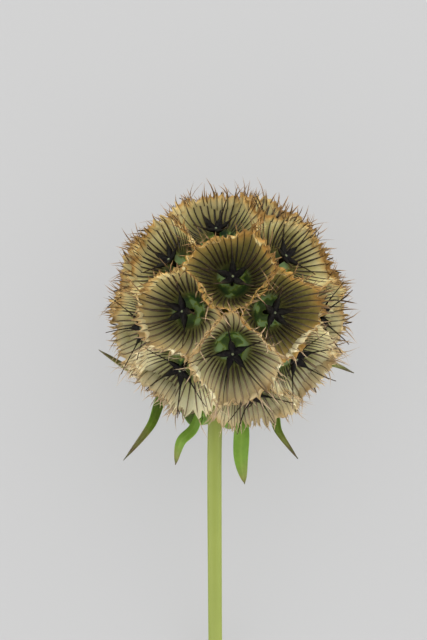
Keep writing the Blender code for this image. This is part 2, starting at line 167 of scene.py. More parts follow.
# The star's stalk, and the pale knob in its middle
STALK_RADIUS = 0.42 * MM
STALK_FOOT, STALK_FLARE = 0.8, 0.9
STALK_INTO_STAR = 0.1 * MM
EYE_RADIUS, EYE_LIFT = 0.24 * MM, 0.28 * MM

# The grooved tube of a fruit, under its cup: height and radius in mm
TUBE_LINE = ((5.0, 1.0), (7.0, 1.25), (9.0, 1.5), (10.8, 1.8), (11.8, 2.4), (12.2, 2.9))
TUBE_SIDES, TUBE_STEPS = 32, 10
TUBE_GROOVES, GROOVE_DEPTH = 8, 0.10
TUBE_UNDER_CUP = 0.1 * MM

# The receptacle that the fruits grow from, and the start of the draws by chance
RECEPTACLE_RADIUS = 6.3 * MM
LUCK_SEED = 29

# The stem, as in part.py: right and up of points on its line, and its radius there, in mm
STEM_LINE = (
    (-0.5, -3.4, 1.25),
    (-0.9, -7.0, 1.3),
    (-1.7, -12.0, 1.25),
    (-2.2, -17.0, 1.22),
    (-2.4, -24.0, 1.2),
    (-2.4, -33.0, 1.2),
    (-2.35, -43.0, 1.18),
    (-2.3, -53.0, 1.17),
    (-2.2, -62.0, 1.15),
)
STEM_DROP_FROM = -14.0 * MM
STEM_FOOT = 0.95 * MM
STEM_SIDES, STEM_STEPS = 32, 90
STEM_RIDGES, RIDGE_HEIGHT = 9.0, 0.012
STEM_STRIDE = 0.01

# The collar that the bracts grow from
COLLAR_HEIGHT, COLLAR_RADIUS = -7.9 * MM, 2.4 * MM
COLLAR_SIDES, COLLAR_TAPER, COLLAR_DEPTH = 24, 0.9, 1.1 * MM

# The bracts, as in part.py: the bearing of the root round the stem and the lean of the tip, in
# degrees, the width, and right, up and face of the points that the blade runs through, in mm
BRACT_ROOT = 1.95 * MM
BRACT_PASSES = ((-13.0, 2.9), (-19.2, 4.4))
BRACTS = (
    (-155.0, 30.0, 1.8, (-7.2, -16.4, -12.8), (-15.4, -11.3, -12.6), (-22.3, -6.8, -11.3)),
    (-132.0, -10.0, 2.1, (-7.9, -16.9, -11.9), (-11.4, -15.5, -10.3), (-13.2, -19.6, -3.4),
     (-17.6, -25.2, 0.0)),
    (-50.0, 20.0, 1.9, (-8.0, -21.9, 4.0), (-8.9, -25.7, 3.6)),
    (78.0, 10.0, 2.7, (2.0, -24.8, 0.9), (2.6, -29.1, 0.4)),
    (96.0, -30.0, 1.9, (3.4, -18.7, -9.6), (7.4, -17.5, -9.9), (8.4, -20.6, -4.5),
     (11.6, -25.0, -1.5)),
    (122.0, -30.0, 2.0, (5.6, -16.8, -13.8), (11.6, -13.6, -13.2), (16.2, -9.2, -12.0),
     (21.5, -10.8, -10.4)),
    (150.0, 10.0, 2.4, (2.6, -18.7, -11.7), (4.6, -17.9, -13.2), (5.9, -18.4, -15.3)),
    (-178.0, -10.0, 2.4, (-3.0, -18.7, -11.6), (-4.6, -17.9, -13.0), (-5.9, -17.9, -14.9)),
)

# Their blades: narrow at the neck, widest over the swell, turned along a part of their length
BRACT_NECK = 1.2 * MM
BRACT_COLUMNS, BRACT_STEPS = 8, 42
BRACT_TIP = 0.03
BRACT_SWELL, BRACT_FULLNESS = (0.26, 0.98), 0.8
BRACT_TURN = (0.2, 0.65)
BRACT_FOLD = 0.18
BRACT_THICKNESS = 0.3 * MM

# The camera: distance, focal length and film width in mm, and where it looks
CAMERA_DISTANCE = 0.4
LENS, FILM_WIDTH = 135.0, 36.0
LOOK_RIGHT, LOOK_UP = -2.58 * MM, -1.75 * MM

# The light: soft from all round, weaker from overhead, with a lamp over the top of the head
SKY_STRENGTH, OVERHEAD_SHARE = 5.4, 0.05
LAMP_POWER, LAMP_SIZE = 2.3, 0.9
LAMP_DISTANCE, LAMP_AT = 0.8, UP * 0.75 + FACE * 0.8 + RIGHT * 0.45

# The plain surface, which glows a little
FLOOR_SHADE, FLOOR_GLOW = (0.105, 0.105, 0.105), 0.395
FLOOR_HALF, FLOOR_ROUGHNESS = 1.5, 0.9
WHITE = (1.0, 1.0, 1.0, 1.0)


def on_head(right, up, face):
    """The place of a point given from the middle of the ball."""
    return HEAD_CENTRE + RIGHT * right + UP * up + FACE * face


def heading(longitude, latitude):
    """The way from the middle of the ball to a longitude and latitude on it, in degrees."""
    lon, lat = math.radians(longitude), math.radians(latitude)
    level = RIGHT * math.sin(lon) + FACE * math.cos(lon)
    return level * math.cos(lat) + UP * math.sin(lat)


def stem_heading():
    """The way from the middle of the ball to where the stem leaves it."""
    right, up = STEM_LEAVES
    return np.array((RIGHT * right + UP * up).normalized())


def spiral(count):
    """Evenly spread headings, on the turning spiral that plants grow by."""
    golden = math.pi * (3.0 - math.sqrt(5.0))
    for k in range(count):
        height = 1.0 - 2.0 * (k + 0.5) / count
        flat = math.sqrt(1.0 - height * height)
        yield np.array((flat * math.cos(golden * k), height, flat * math.sin(golden * k)))


def ease_apart(points, k, stem):
    """Moves fruit k a little away from every other one and from the stem."""
    away = points[k] - points
    reach = np.linalg.norm(away, axis=1)
    reach[k] = 1.0
    push = (away / reach[:, None] ** 4).sum(0)
    from_stem = points[k] - stem
    push += PUSH_OF_STEM * from_stem / np.linalg.norm(from_stem) ** 4
    push -= (push @ points[k]) * points[k]
    points[k] += SPREADING_STEP * push / max(1.0, np.linalg.norm(push))
    points[k] /= np.linalg.norm(points[k])


def spread_fruits():
    """Headings and room of every fruit: the upper ones and the resting one as they are, then the rest,
    each put in the widest space left and eased away from its neighbours and from the stem."""
    placed = [np.array(heading(lon, lat)) for lon, lat, room, bearing in UPPER_FRUITS]
    placed.append(np.array((0.0, 0.0, -1.0)))
    held = len(placed)
    rooms = [room for lon, lat, room, bearing in UPPER_FRUITS]
    rooms += [USUAL_ROOM] * (FRUIT_COUNT - len(rooms))
    stem = stem_heading()
    places = [p for p in spiral(PLACES_PER_FRUIT * FRUIT_COUNT) if p @ stem < math.cos(STEM_ROOM)]
    while len(placed) < FRUIT_COUNT:
        nearest = [max(p @ q for q in placed) for p in places]
        placed.append(places[int(np.argmin(nearest))])
    points = np.array(placed)
    for _ in range(SPREADING_ROUNDS):
        for k in range(held, FRUIT_COUNT):
            ease_apart(points, k, stem)
    return points, np.array(rooms)


def shares_between(k, rooms):
    """Fruit k's share of the way to each other fruit."""
    shares = rooms[k] / (rooms[k] + rooms)
    for (first, second), share in LEANING_WALLS.items():
        if k == first:
            shares[second] = share
        if k == second:
            shares[first] = 1.0 - share
    return np.delete(shares, k)


def star_bearing(k):
    """The bearing of one ray of fruit k's star."""
    if k < len(UPPER_FRUITS):
        return math.radians(UPPER_FRUITS[k][3])
    return math.radians(TURN_BETWEEN * k)


def phased(turns, luck):
    """Each of some turns round a circle, with a phase drawn by chance."""
    return [(turn, luck.uniform(0.0, math.tau)) for turn in turns]


def waves(terms, bearing):
    """A gently uneven value round a circle, mostly within 1 either way."""
    together = sum(math.sin(turns * bearing + phase) for turns, phase in terms)
    return together / len(terms) * WAVE_STRENGTH


class Cup:
    """The shape of one fruit's cup: where its wall runs, in the fruit's own axes and on the head."""

    def __init__(self, k, points, rooms, luck):
        self.find_neighbours(k, points, rooms)
        self.radius = HEAD_RADIUS + luck.uniform(-1.0, 1.0) * LENGTH_SCATTER
        self.ribs = luck.choice(RIB_COUNTS)
        self.columns = self.ribs * COLUMNS_PER_RIB
        self.frills = phased([luck.randint(*span) for span in FRILL_TURNS], luck)
        self.wanders = phased(WANDER_TURNS, luck)
        self.overlaps = phased(OVERLAP_TURNS, luck)
        self.sways = phased(SWAY_TURNS, luck)
        self.twist = luck.uniform(-TWIST, TWIST) * COLUMNS_PER_RIB
        turns = np.arange(self.columns) * math.tau / self.columns
        self.rims = np.array([self.rim_at(turn) for turn in turns])
        self.tears = [luck.random() ** 3 for _ in range(self.columns)]
        self.scallops = [luck.uniform(*SCALLOP) for _ in range(self.ribs)]
        longer = 1.0 - SHORTEST_TIP
        self.tips = [SHORTEST_TIP + longer * luck.random() ** 2 for _ in range(self.ribs)]
        # How dry the fruit is, which also paints shade on a middle cup and light through an outer one
        if k < len(RIPENESS_AND_LIGHT):
            self.ripeness_and_light = RIPENESS_AND_LIGHT[k]
        else:
            self.ripeness_and_light = USUAL_RIPENESS_AND_LIGHT + luck.uniform(*RIPENESS_AND_LIGHT_SCATTER)
        self.thickness = [luck.uniform(*RIB_THICKNESS) for _ in range(self.ribs)]
        self.bends = [(luck.uniform(*RIB_BEND_ASIDE), luck.uniform(*RIB_BEND_IN)) for _ in range(self.ribs)]

    def find_neighbours(self, k, points, rooms):
        """Sets the fruit's own axes, and how far out and on what bearings the planes stand that part it
        from its neighbours and keep it clear of the stem."""
        out = Vector(points[k])
        side = UP.cross(out)
        side.normalize()
        self.axes = Matrix((side, out.cross(side), out)).transposed()
        near = np.vstack((np.delete(points, k, axis=0), stem_heading())) @ np.array(self.axes)
        between = np.arccos(np.clip(near[:, 2], -1.0, 1.0))
        cone = UPPER_STEM_CONE if k < len(UPPER_FRUITS) else LOWER_STEM_CONE
        lean = np.append(between[:-1] * shares_between(k, rooms), between[-1] - cone)
        close = lean < NEIGHBOUR_REACH
        self.lean, self.bearings = lean[close], np.arctan2(near[close, 1], near[close, 0])

    def rim_at(self, bearing):
        """Distance out from the axis and height of the rim on a bearing."""
        height = self.radius * math.cos(CUP_SPREAD)
        facing = np.cos(self.bearings - bearing)
        ahead = facing > LEAST_FACING
        lean, facing = self.lean[ahead], facing[ahead]
        for _ in range(RIM_ROUNDS):
            reach = (height * np.sin(lean) - CUP_GAP / 2) / (np.cos(lean) * facing)
            out = min(float(reach.min()), height * math.tan(CUP_SPREAD))
            height = math.sqrt(self.radius**2 - out**2)
        out += RIM_OVERLAP[0] + RIM_OVERLAP[1] * waves(self.overlaps, bearing)
        return out, height

    def rim(self, column):
        """The rim at a column that may be a fraction, between the two that are known."""
        low = int(math.floor(column))
        part = column - low
        first, second = self.rims[low % self.columns], self.rims[(low + 1) % self.columns]
        return first * (1.0 - part) + second * part

    def wall(self, column, share, lift=0.0):
        """A point on the wall in the fruit's axes. Share runs from 0 at the floor's edge to 1 at the rim
        and on past it, and lift is the distance inwards from the wall's skin."""
        start = math.tau * column / self.columns
        column += (self.twist + COLUMNS_PER_RIB * SWAY * waves(self.sways, start)) * share**2
        bearing = math.tau * column / self.columns
        rim_out, rim_height = self.rim(column)
        run, rise = rim_out - FLOOR_EDGE_RADIUS, rim_height - FLOOR_EDGE_HEIGHT
        slope = math.hypot(run, rise)
        share *= 1.0 + RIM_WANDER * waves(self.wanders, start) / slope
        frill = FRILL_DEPTH * waves(self.frills, bearing) * max(0.0, share) ** 5
        inwards = lift - WALL_BULGE * 4.0 * share * (1.0 - share) - frill
        out = FLOOR_EDGE_RADIUS + run * share - inwards * rise / slope
        height = FLOOR_EDGE_HEIGHT + rise * share + inwards * run / slope
        return Vector((out * math.cos(bearing), out * math.sin(bearing), height))

    def on_head(self, local):
        """The place of a point of this fruit, never under the surface that the head lies on."""
        place = HEAD_CENTRE + self.axes @ local
        place.z = max(place.z, LOWEST)
        return place


def new_group(name, inputs, outputs):
    """An empty shader node group with named sockets."""
    group = bpy.data.node_groups.new(name, "ShaderNodeTree")
    for label, kind, value in inputs:
        socket = group.interface.new_socket(name=label, in_out="INPUT", socket_type=kind)
        if value is not None:
            socket.default_value = value
    for label, kind in outputs:
        group.interface.new_socket(name=label, in_out="OUTPUT", socket_type=kind)
    return group, group.nodes.new("NodeGroupInput"), group.nodes.new("NodeGroupOutput")


def mottle_group():
    """Soft uneven patches over the surface, from 0 to 1, at a chosen size."""
    group, given, made = new_group(
        "Plant mottle",
        (("Scale", "NodeSocketFloat", 200.0), ("Contrast", "NodeSocketFloat", 0.5)),
        (("Patches", "NodeSocketFloat"),),
    )
    nodes, links = group.nodes, group.links
    place = nodes.new("ShaderNodeTexCoord")
    noise = nodes.new("ShaderNodeTexNoise")
    noise.inputs["Detail"].default_value = 3.0
    spread = nodes.new("ShaderNodeMapRange")
    low = nodes.new("ShaderNodeMath")
    low.operation = "MULTIPLY"
    low.inputs[1].default_value = 0.5
    high = nodes.new("ShaderNodeMath")
    high.operation = "SUBTRACT"
    high.inputs[0].default_value = 1.0
    links.new(place.outputs["Object"], noise.inputs["Vector"])
    links.new(given.outputs["Scale"], noise.inputs["Scale"])
    links.new(given.outputs["Contrast"], low.inputs[0])
    links.new(low.outputs[0], high.inputs[1])
    links.new(noise.outputs["Fac"], spread.inputs["Value"])
    links.new(low.outputs[0], spread.inputs["From Min"])
    links.new(high.outputs[0], spread.inputs["From Max"])
    links.new(spread.outputs["Result"], made.inputs["Patches"])
    return group


class Finish:
    """A material being put together: its node tree, its Principled shader, and short ways to add nodes."""

    def __init__(self, name, roughness):
        self.material = bpy.data.materials.new(name)
        self.material.use_nodes = True
        self.nodes = self.material.node_tree.nodes
        self.links = self.material.node_tree.links
        self.shader = self.nodes["Principled BSDF"]
        self.output = self.nodes["Material Output"]
        self.shader.inputs["Roughness"].default_value = roughness
        self.shader.inputs["Specular IOR Level"].default_value = 0.3

    def link(self, source, target):
        self.links.new(source, target)

    def mottle(self, scale, contrast):
        node = self.nodes.new("ShaderNodeGroup")
        node.node_tree = MOTTLE
        node.inputs["Scale"].default_value = scale
        node.inputs["Contrast"].default_value = contrast
        return node.outputs["Patches"]

    def along(self):
        """How far along the piece a point is, and how far round it, from its own map."""
        place = self.nodes.new("ShaderNodeUVMap")
        place.uv_map = "run"
        parts = self.nodes.new("ShaderNodeSeparateXYZ")
        self.link(place.outputs["UV"], parts.inputs[0])
        return parts.outputs["X"], parts.outputs["Y"]

    def up_the_head(self, low, high):
        """0 at and below one place along the head's length, and 1 from another on."""
        place = self.nodes.new("ShaderNodeTexCoord")
        parts = self.nodes.new("ShaderNodeSeparateXYZ")
        span = self.nodes.new("ShaderNodeMapRange")
        span.inputs["From Min"].default_value = low
        span.inputs["From Max"].default_value = high
        self.link(place.outputs["Object"], parts.inputs[0])
        self.link(parts.outputs["Y"], span.inputs["Value"])
        return span.outputs["Result"]

    def ripeness_and_light(self):
        """How far the fruit is from green towards dry, from its own map. This also carries painted shade on
        the middle cups and painted light through the outer ones.
        """
        place = self.nodes.new("ShaderNodeUVMap")
        place.uv_map = "ripe"
        parts = self.nodes.new("ShaderNodeSeparateXYZ")
        self.link(place.outputs["UV"], parts.inputs[0])
        return parts.outputs["X"]

    def streaks(self, across, along):
        """Long uneven streaks along a piece, from 0 to 1, with so many across and along its map."""
        turn, share = self.along()
        place = self.nodes.new("ShaderNodeCombineXYZ")
        noise = self.nodes.new("ShaderNodeTexNoise")
        noise.inputs["Scale"].default_value = 1.0
        noise.inputs["Detail"].default_value = 2.0
        self.link(self.times(turn, across), place.inputs["X"])
        self.link(self.times(share, along), place.inputs["Y"])
        self.link(place.outputs[0], noise.inputs["Vector"])
        return noise.outputs["Fac"]

    def ramp(self, value, *stops):
        node = self.nodes.new("ShaderNodeValToRGB")
        elements = node.color_ramp.elements
        while len(elements) < len(stops):
            elements.new(0.5)
        for element, (position, colour) in zip(elements, stops):
            element.position = position
            element.color = (*colour, 1.0)
        self.link(value, node.inputs["Fac"])
        return node.outputs["Color"]

    def math(self, operation, first, second=0.0):
        node = self.nodes.new("ShaderNodeMath")
        node.operation = operation
        for socket, value in zip(node.inputs, (first, second)):
            if isinstance(value, (int, float)):
                socket.default_value = value
            else:
                self.link(value, socket)
        return node.outputs[0]

    def times(self, value, amount):
        return self.math("MULTIPLY", value, amount)

    def unsettled(self, value, patches, amount):
        """A value moved up and down by uneven patches."""
        return self.math("ADD", value, self.times(self.math("SUBTRACT", patches, 0.5), amount))

    def mix(self, share, first, second):
        node = self.nodes.new("ShaderNodeMix")
        node.data_type = "RGBA"
        for label, value in (("Factor", share), ("A", first), ("B", second)):
            socket = next(s for s in node.inputs if s.name == label and s.enabled)
            if isinstance(value, tuple):
                socket.default_value = (*value, 1.0)
            elif isinstance(value, (int, float)):
                socket.default_value = value
            else:
                self.link(value, socket)
        return next(s for s in node.outputs if s.enabled)

    def colour(self, source):
        self.link(source, self.shader.inputs["Base Color"])

    def bump(self, height, strength, distance):
        node = self.nodes.new("ShaderNodeBump")
        node.inputs["Strength"].default_value = strength
        node.inputs["Distance"].default_value = distance
        self.link(height, node.inputs["Height"])
        self.link(node.outputs["Normal"], self.shader.inputs["Normal"])

    def let_light_through(self, colour, share):
        """Mixes in light from behind, as in a thin leaf. Light crosses two faces of a skin, so each takes
        the square root of its colour."""
        glow = self.nodes.new("ShaderNodeBsdfTranslucent")
        each_face = self.nodes.new("ShaderNodeGamma")
        each_face.inputs["Gamma"].default_value = 0.5
        both = self.nodes.new("ShaderNodeMixShader")
        both.inputs[0].default_value = share
        self.link(colour, each_face.inputs["Color"])
        self.link(each_face.outputs["Color"], glow.inputs["Color"])
        self.link(self.shader.outputs[0], both.inputs[1])
        self.link(glow.outputs[0], both.inputs[2])
        self.link(both.outputs[0], self.output.inputs["Surface"])


def wall_colours(finish, shifted):
    """The bare colour of a cup's wall: olive on a green fruit and straw on a dry one, with a golden-brown
    rim, and paler on the dry ones near the stem. The dark olive is partly painted shade on the middle
    cups, and the dry colours are partly painted light shining through the outer cups."""
    green = finish.ramp(
        shifted,
        (0.25, (0.028, 0.052, 0.006)),
        (0.36, (0.043, 0.055, 0.006)),
        (0.5, (0.078, 0.080, 0.010)),
        (0.64, (0.16, 0.138, 0.024)),
        (0.78, (0.40, 0.28, 0.070)),
        (0.88, (0.54, 0.30, 0.06)),
        (0.96, (0.38, 0.17, 0.035)),
        (1.0, (0.24, 0.10, 0.02)),
    )
    golden = finish.ramp(
        shifted,
        (0.25, (0.09, 0.11, 0.018)),
        (0.34, (0.20, 0.18, 0.045)),
        (0.46, (0.46, 0.42, 0.15)),
        (0.62, (0.86, 0.80, 0.40)),
        (0.78, (0.98, 0.92, 0.56)),
        (0.89, (0.95, 0.77, 0.36)),
        (0.95, (0.70, 0.41, 0.12)),
        (1.0, (0.36, 0.17, 0.04)),
    )
    pale = finish.ramp(
        shifted,
        (0.25, (0.13, 0.20, 0.05)),
        (0.34, (0.33, 0.37, 0.12)),
        (0.5, (0.74, 0.74, 0.42)),
        (0.72, (0.97, 0.95, 0.72)),
        (0.94, (0.95, 0.90, 0.64)),
        (1.0, (0.68, 0.50, 0.25)),
    )
    height = finish.up_the_head(8.0 * MM, 24.0 * MM)
    dry = finish.mix(height, pale, golden)
    # Painted light and shade: dark olive on the green middle cups, pale dry colours on the outer ones
    return finish.mix(finish.ripeness_and_light(), green, dry)


def floor_colours(finish, share):
    """The mottled green of a cup's floor, partly its own and partly painted light and shade, with a
    painted highlight round the star's stalk.
    """
    # Partly painted light and shade: bright yellow-green patches stand for lit spots, dark grey-green ones
    # for shade
    floor = finish.ramp(
        finish.mottle(520.0, 0.9),
        (0.0, (0.032, 0.066, 0.026)),
        (0.35, (0.052, 0.115, 0.028)),
        (0.55, (0.105, 0.22, 0.036)),
        (0.72, (0.27, 0.33, 0.050)),
        (0.86, (0.38, 0.42, 0.075)),
        (1.0, (0.38, 0.54, 0.26)),
    )
    # Painted highlight: the floor is lightened to pale yellow-green round the star's stalk
    hub_highlight = finish.ramp(share, (0.03, (1.0, 1.0, 1.0)), (0.2, (0.0, 0.0, 0.0)))
    return finish.mix(finish.times(hub_highlight, 0.35), floor, (0.30, 0.42, 0.10))


def membrane_finish():
    """Papery skin: a glossy green floor with painted light and shade, and a streaked wall with painted
    shade beside its ribs.
    """
    finish = Finish("papery_membrane", 0.5)
    turn, share = finish.along()
    uneven = finish.mottle(240.0, 0.7)
    wall = wall_colours(finish, finish.unsettled(share, uneven, 0.16))
    streaked = finish.mix(finish.times(finish.streaks(5.0, 9.0), 0.5), wall, (0.20, 0.15, 0.05))
    cells = finish.mottle(2600.0, 0.7)
    celled = finish.mix(finish.times(cells, 0.18), streaked, (0.66, 0.56, 0.24))
    # Painted shade: the wall darkens towards brown beside each rib
    from_middle = finish.math("ABSOLUTE", finish.math("SUBTRACT", finish.math("FRACT", turn), 0.5))
    rib_shadow_mask = finish.math("POWER", finish.times(from_middle, 2.0), 5.0)
    ribbed = finish.mix(finish.times(rib_shadow_mask, 0.5), celled, (0.10, 0.075, 0.015))
    rising = finish.unsettled(share, uneven, 0.08)
    on_wall = finish.ramp(rising, (0.19, (0.0, 0.0, 0.0)), (0.27, (1.0, 1.0, 1.0)))
    shaded = finish.mix(on_wall, floor_colours(finish, share), ribbed)
    finish.colour(shaded)
    dull = finish.math("ADD", finish.times(on_wall, 0.35), 0.22)
    finish.link(dull, finish.shader.inputs["Roughness"])
    finish.bump(cells, 0.5, 0.08 * MM)
    finish.shader.inputs["Specular IOR Level"].default_value = 0.16
    finish.let_light_through(shaded, 0.7)
    return finish.material


def rib_finish():
    """Ribs that are near black low on the wall and brown where they leave it, sooner near the stem."""
    finish = Finish("dark_ribs", 0.5)
    turn, share = finish.along()
    upper = finish.ramp(
        share,
        (0.0, (0.05, 0.06, 0.02)),
        (0.1, (0.012, 0.010, 0.004)),
        (0.5, (0.016, 0.011, 0.005)),
        (0.68, (0.035, 0.020, 0.007)),
        (0.84, (0.12, 0.062, 0.018)),
        (1.0, (0.28, 0.16, 0.055)),
    )
    lower = finish.ramp(
        share,
        (0.0, (0.06, 0.08, 0.02)),
        (0.1, (0.014, 0.012, 0.005)),
        (0.28, (0.035, 0.026, 0.014)),
        (0.46, (0.14, 0.10, 0.058)),
        (0.8, (0.27, 0.195, 0.115)),
        (1.0, (0.38, 0.28, 0.17)),
    )
    colour = finish.mix(finish.up_the_head(9.0 * MM, 21.0 * MM), lower, upper)
    patches = finish.times(finish.mottle(500.0, 0.6), 0.25)
    finish.colour(finish.mix(patches, colour, (0.10, 0.055, 0.018)))
    return finish.material


def star_finish():
    """Near-black stars with faint grey patches of painted sheen, browner towards the tips of their
    bristles.
    """
    finish = Finish("black_star", 0.5)
    turn, share = finish.along()
    colour = finish.ramp(
        share,
        (0.0, (0.003, 0.003, 0.003)),
        (0.25, (0.004, 0.003, 0.004)),
        (0.6, (0.005, 0.004, 0.003)),
        (1.0, (0.05, 0.03, 0.016)),
    )
    patches = finish.mottle(2400.0, 0.85)
    # Painted sheen: faint grey patches lighten the near-black colour
    painted_sheen = finish.math("POWER", patches, 2.0)
    finish.colour(finish.mix(finish.times(painted_sheen, 0.6), colour, (0.013, 0.013, 0.009)))
    finish.bump(patches, 0.5, 0.08 * MM)
    finish.shader.inputs["Specular IOR Level"].default_value = 0.02
    return finish.material


def plain_plant_finish(name, dark, light, roughness, scale):
    """A green or brown surface in two uneven shades."""
    finish = Finish(name, roughness)
    patches = finish.mottle(scale, 0.6)
    finish.colour(finish.mix(patches, dark, light))
    finish.bump(finish.mottle(scale * 4.0, 0.6), 0.3, 0.05 * MM)
    return finish.material


def bract_finish():
    """Fresh green with a paler midrib and a dry brown tip."""
    finish = Finish("bract_green", 0.5)
    turn, share = finish.along()
    length = finish.ramp(
        finish.unsettled(share, finish.mottle(300.0, 0.6), 0.08),
        (0.0, (0.21, 0.28, 0.05)),
        (0.4, (0.12, 0.23, 0.020)),
        (0.78, (0.14, 0.24, 0.022)),
        (0.88, (0.16, 0.16, 0.035)),
        (0.94, (0.09, 0.05, 0.022)),
        (1.0, (0.05, 0.025, 0.015)),
    )
    from_middle = finish.times(finish.math("ABSOLUTE", finish.math("SUBTRACT", turn, 0.5)), 2.0)
    midrib = finish.math("POWER", finish.math("SUBTRACT", 1.0, from_middle), 6.0)
    ribbed = finish.mix(finish.times(midrib, 0.35), length, (0.24, 0.32, 0.07))
    fine = finish.times(finish.mottle(1500.0, 0.6), 0.35)
    mottled = finish.mix(fine, ribbed, (0.06, 0.135, 0.012))
    finish.colour(mottled)
    finish.bump(finish.mottle(2500.0, 0.6), 0.25, 0.05 * MM)
    finish.let_light_through(mottled, 0.3)
    return finish.material


def stem_finish():
    """Pale yellow-green stem with faint long streaks."""
    finish = Finish("stem_green", 0.6)
    turn, share = finish.along()
    streaks = finish.streaks(40.0, 6.0)
    base = finish.ramp(
        share,
        (0.0, (0.160, 0.191, 0.033)),
        (0.3, (0.151, 0.179, 0.028)),
        (1.0, (0.142, 0.170, 0.024)),
    )
    streaked = finish.mix(finish.times(streaks, 0.35), base, (0.185, 0.21, 0.052))
    patches = finish.times(finish.mottle(250.0, 0.7), 0.25)
    patched = finish.mix(patches, streaked, (0.117, 0.148, 0.019))
    finish.colour(patched)
    finish.bump(streaks, 0.3, 0.1 * MM)
    return finish.material


def as_object(name, bm, material, smooth=True):
    """Makes an object at the origin from a bmesh and gives it its finish."""
    mesh = bpy.data.meshes.new(name)
    bm.to_mesh(mesh)
    bm.free()
    for face in mesh.polygons:
        face.use_smooth = smooth
    mesh.materials.append(material)
    made = bpy.data.objects.new(name, mesh)
    bpy.context.scene.collection.objects.link(made)
    return made


def keep(piece):
    """Fixes a piece to the seed head."""
    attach(piece, "root")
    return piece


def mapped_grid(bm, columns, rows, place):
    """Adds a grid and puts each of its points where place(across, along) says, both from 0 to 1.
    The map named run keeps the two values."""
    run = bm.loops.layers.uv.get("run") or bm.loops.layers.uv.new("run")
    before = len(bm.verts)
    bmesh.ops.create_grid(bm, x_segments=columns, y_segments=rows, size=0.5, calc_uvs=False)
    bm.verts.ensure_lookup_table()
    fresh = bm.verts[before:]
    shares = {vertex: (vertex.co.x + 0.5, vertex.co.y + 0.5) for vertex in fresh}
    for face in {face for vertex in fresh for face in vertex.link_faces}:
        for loop in face.loops:
            loop[run].uv = shares[loop.vert]
    for vertex, (across, along) in shares.items():
        vertex.co = place(across, along)
    return fresh


def straight_tube(sides, steps):
    """A closed tube of unit length and radius along +Z, cut into steps. Its map runs round and along."""
    bm = bmesh.new()
    run = bm.loops.layers.uv.new("run")
    bmesh.ops.create_cone(bm, cap_ends=True, segments=sides, radius1=1.0, radius2=1.0, depth=1.0)
    long_edges = [edge for edge in bm.edges if abs(edge.verts[0].co.z - edge.verts[1].co.z) > 0.5]
    bmesh.ops.subdivide_edges(bm, edges=long_edges, cuts=steps - 1)
    bmesh.ops.translate(bm, verts=bm.verts, vec=(0.0, 0.0, 0.5))
    for face in bm.faces:
        for loop in face.loops:
            around = math.atan2(loop.vert.co.y, loop.vert.co.x) / math.tau % 1.0
            loop[run].uv = (around, loop.vert.co.z)
    mesh = bpy.data.meshes.new("straight_tube")
    bm.to_mesh(mesh)
    bm.free()
    return mesh


def mostly_late(mesh, start):
    """Makes a tube's map run along from start to 1, so that its finish is that of a longer one's end."""
    for loop in mesh.uv_layers["run"].data:
        loop.uv.y = start + (1.0 - start) * loop.uv.y
    return mesh


def add_bent(bm, pattern, place):
    """Adds a copy of a straight tube with each point moved to place(x, y, share along it)."""
    before = len(bm.verts)
    bm.from_mesh(pattern)
    bm.verts.ensure_lookup_table()
    for vertex in bm.verts[before:]:
        vertex.co = place(*vertex.co)


def membrane(name, cup, finish):
    """The papery skin of one cup: its bowl-shaped floor and its pleated wall with a torn rim."""
    bm = bmesh.new()
    height = cup.radius - FLOOR_EDGE_HEIGHT

    def place(across, along):
        column = across * cup.columns
        if along < FLOOR_SHARE:
            inner = along / FLOOR_SHARE
            edge = cup.wall(column, 0.0)
            out = FLOOR_INNER_RADIUS + (FLOOR_EDGE_RADIUS - FLOOR_INNER_RADIUS) * inner
            rise = (edge.z - FLOOR_CENTRE_HEIGHT) * inner**FLOOR_CURVE
            flat = Vector((edge.x, edge.y, 0.0)).normalized() * out
            return cup.on_head(flat + Vector((0.0, 0.0, FLOOR_CENTRE_HEIGHT + rise)))
        share = (along - FLOOR_SHARE) / (1.0 - FLOOR_SHARE)
        folded = 1.0 - math.cos(math.tau * across * cup.ribs)
        pleat = PLEAT_DEPTH * folded * min(1.0, share * PLEAT_RISE) / 2
        tear = TEAR_DEPTH / height * cup.tears[int(round(column)) % cup.columns]
        gap = across * cup.ribs
        between = math.sin(math.pi * (gap % 1.0)) * cup.scallops[int(gap) % cup.ribs]
        return cup.on_head(cup.wall(column, share * (1.0 - (tear + between) * share**4), -pleat))

    mapped_grid(bm, cup.columns, CUP_ROWS, place)
    run = bm.loops.layers.uv["run"]
    # A map that holds how dry the fruit is, and with it the painted light and shade of its wall
    ripe = bm.loops.layers.uv.new("ripe")
    for face in bm.faces:
        for loop in face.loops:
            loop[run].uv.x *= cup.ribs
            loop[ripe].uv = (cup.ripeness_and_light, 0.0)
    bmesh.ops.remove_doubles(bm, verts=bm.verts, dist=SAME_PLACE)
    bmesh.ops.recalc_face_normals(bm, faces=bm.faces)
    piece = as_object(name, bm, finish)
    skin = piece.modifiers.new("skin", "SOLIDIFY")
    skin.thickness = SKIN
    skin.offset = 0.0
    return piece


def rib_width(share):
    """Widest low on the wall, and thins to a point past the rim."""
    widened = min(1.0, RIB_FOOT + RIB_WIDENING * share)
    pointed = min(1.0, RIB_POINTING * (1.0 - share))
    return widened * (1.0 - RIB_THINNING * share) * pointed + RIB_TIP


